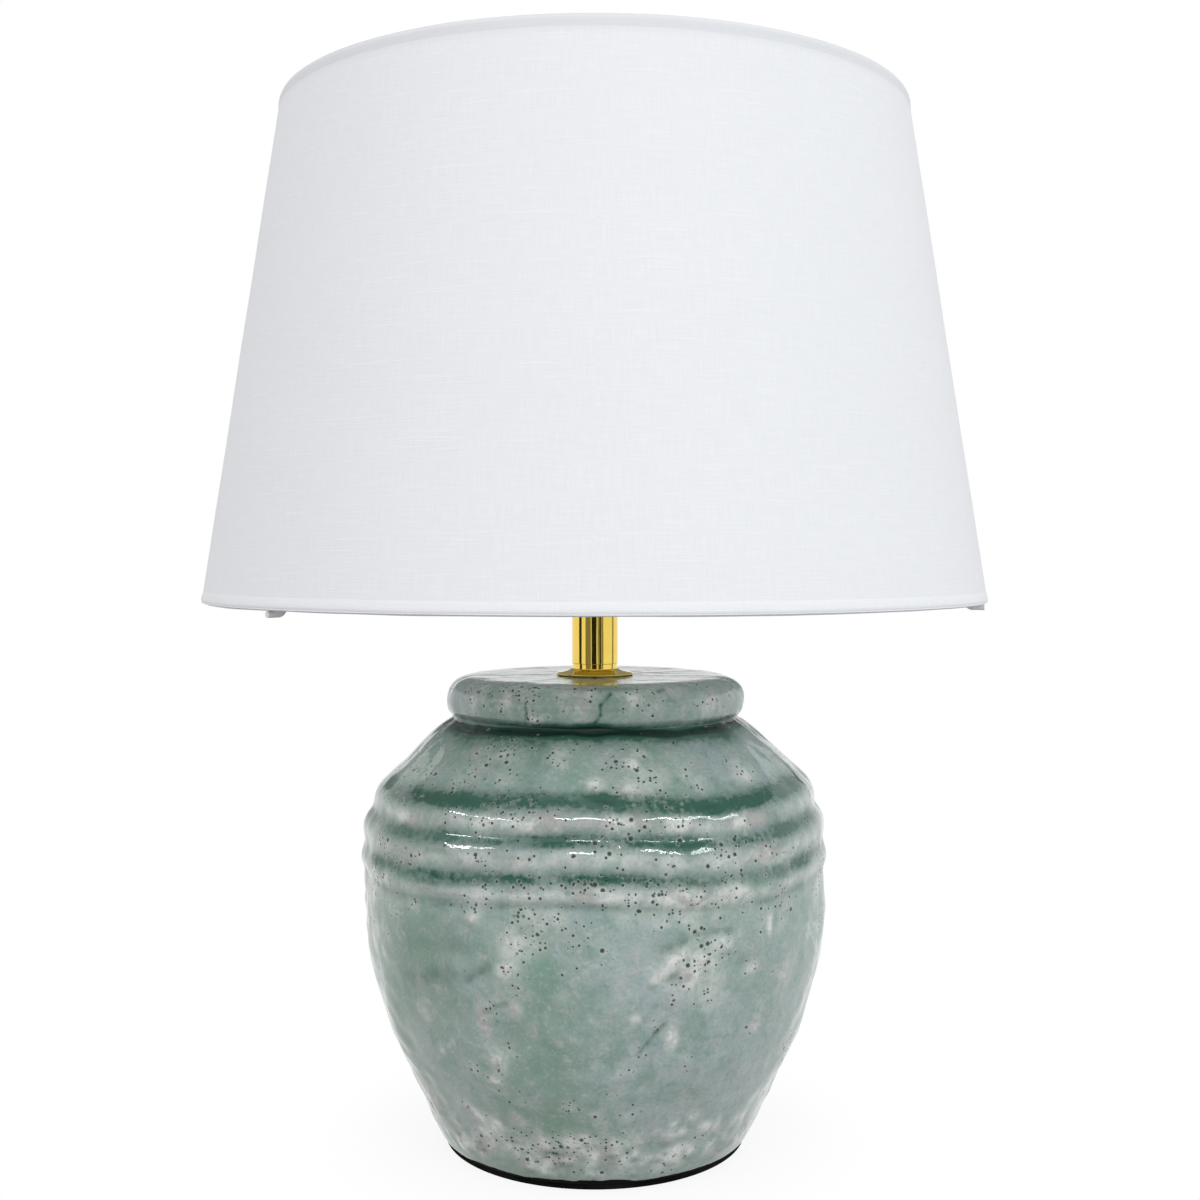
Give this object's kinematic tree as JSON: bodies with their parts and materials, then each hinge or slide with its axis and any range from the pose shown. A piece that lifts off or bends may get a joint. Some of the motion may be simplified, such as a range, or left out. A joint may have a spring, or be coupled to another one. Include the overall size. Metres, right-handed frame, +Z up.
{
  "type": "ginger jar table lamp",
  "caption": "Table lamp: glazed ceramic jar base, brass neck, lampholder with turn switch, screw-in LED lamp and a tapered linen drum shade on a wire carrier.",
  "frame": {"origin": "centre of the felt pad's underside, on the surface that the lamp stands on", "axes": "+Z up along the lamp's axis, -Y towards the viewer, cord outlet at +Y"},
  "size_m": [0.3999, 0.4, 0.53],
  "materials": {
    "felt": "matt black felt",
    "celadon_glaze": "glossy crackled grey-green glaze",
    "brass": "polished",
    "black_moulding": "semi-matt phenolic moulding",
    "zinc_steel": "zinc plated",
    "rubber": "matt",
    "contact_brass": "rolled",
    "white_wire": "white powder coat",
    "linen": "white plain-weave linen",
    "liner": "smooth white styrene",
    "cap_nickel": "nickel plated",
    "insulator_glass": "black vitreous",
    "bulb_body": "satin white",
    "opal": "opal diffuser",
    "circuit_board": "solder mask"
  },
  "bodies": {
    "base": {"felt_pad": "felt", "jar": "celadon_glaze", "cord_gland": "black_moulding", "gland_nut": "black_moulding", "rubber_washer": "rubber", "fender_washer": "zinc_steel", "lock_washer": "zinc_steel", "hex_nut": "zinc_steel", "threaded_rod": "zinc_steel", "flange_gasket": "rubber", "neck_flange": "brass", "neck_tube": "brass", "neck_tube_cap": "brass", "holder_cap": "black_moulding", "grub_screw": "zinc_steel", "switch_body": "black_moulding", "terminal_block": "black_moulding", "terminal_screws": "contact_brass", "centre_contact": "contact_brass", "screw_shell": "contact_brass", "holder_shell": "black_moulding"},
    "switch": {"switch_shaft": "contact_brass", "switch_knob": "black_moulding"},
    "shade": {"fitter_ring": "white_wire", "carrier_arms": "white_wire", "bottom_ring": "white_wire", "top_ring": "white_wire", "shade_liner": "liner", "shade_fabric": "linen", "bottom_hem": "linen", "top_hem": "linen"},
    "retaining_ring": {"shade_ring": "black_moulding"},
    "bulb_foot": {"bulb_contact": "cap_nickel"},
    "bulb": {"bulb_insulator": "insulator_glass", "bulb_cap": "cap_nickel", "bulb_housing": "bulb_body", "bulb_driver_board": "circuit_board", "bulb_led_board": "circuit_board", "bulb_dome": "opal"}
  },
  "joints": [
    {"name": "switch_turn", "type": "hinge", "parent": "base", "child": "switch", "pos_m": [0.03, 0, 0.302], "axis": [1, 0, 0], "continuous": true},
    {"name": "shade_turn", "type": "hinge", "parent": "base", "child": "shade", "pos_m": [0, 0, 0.317], "axis": [0, 0, 1], "continuous": true},
    {"name": "ring_lift", "type": "slide", "parent": "base", "child": "retaining_ring", "axis": [0, 0, 1], "range_m": [0, 0.0175]},
    {"name": "bulb_lift", "type": "slide", "parent": "base", "child": "bulb_foot", "axis": [0, 0, 1], "range_m": [0, 0.0254]},
    {"name": "bulb_turn", "type": "hinge", "parent": "bulb_foot", "child": "bulb", "pos_m": [0, 0, 0.36], "axis": [0, 0, 1], "range_deg": [0, 2520]}
  ],
  "couplings": [
    {"joint": "bulb_turn", "follows": "bulb_lift", "rad_per_m": 1730.9}
  ]
}
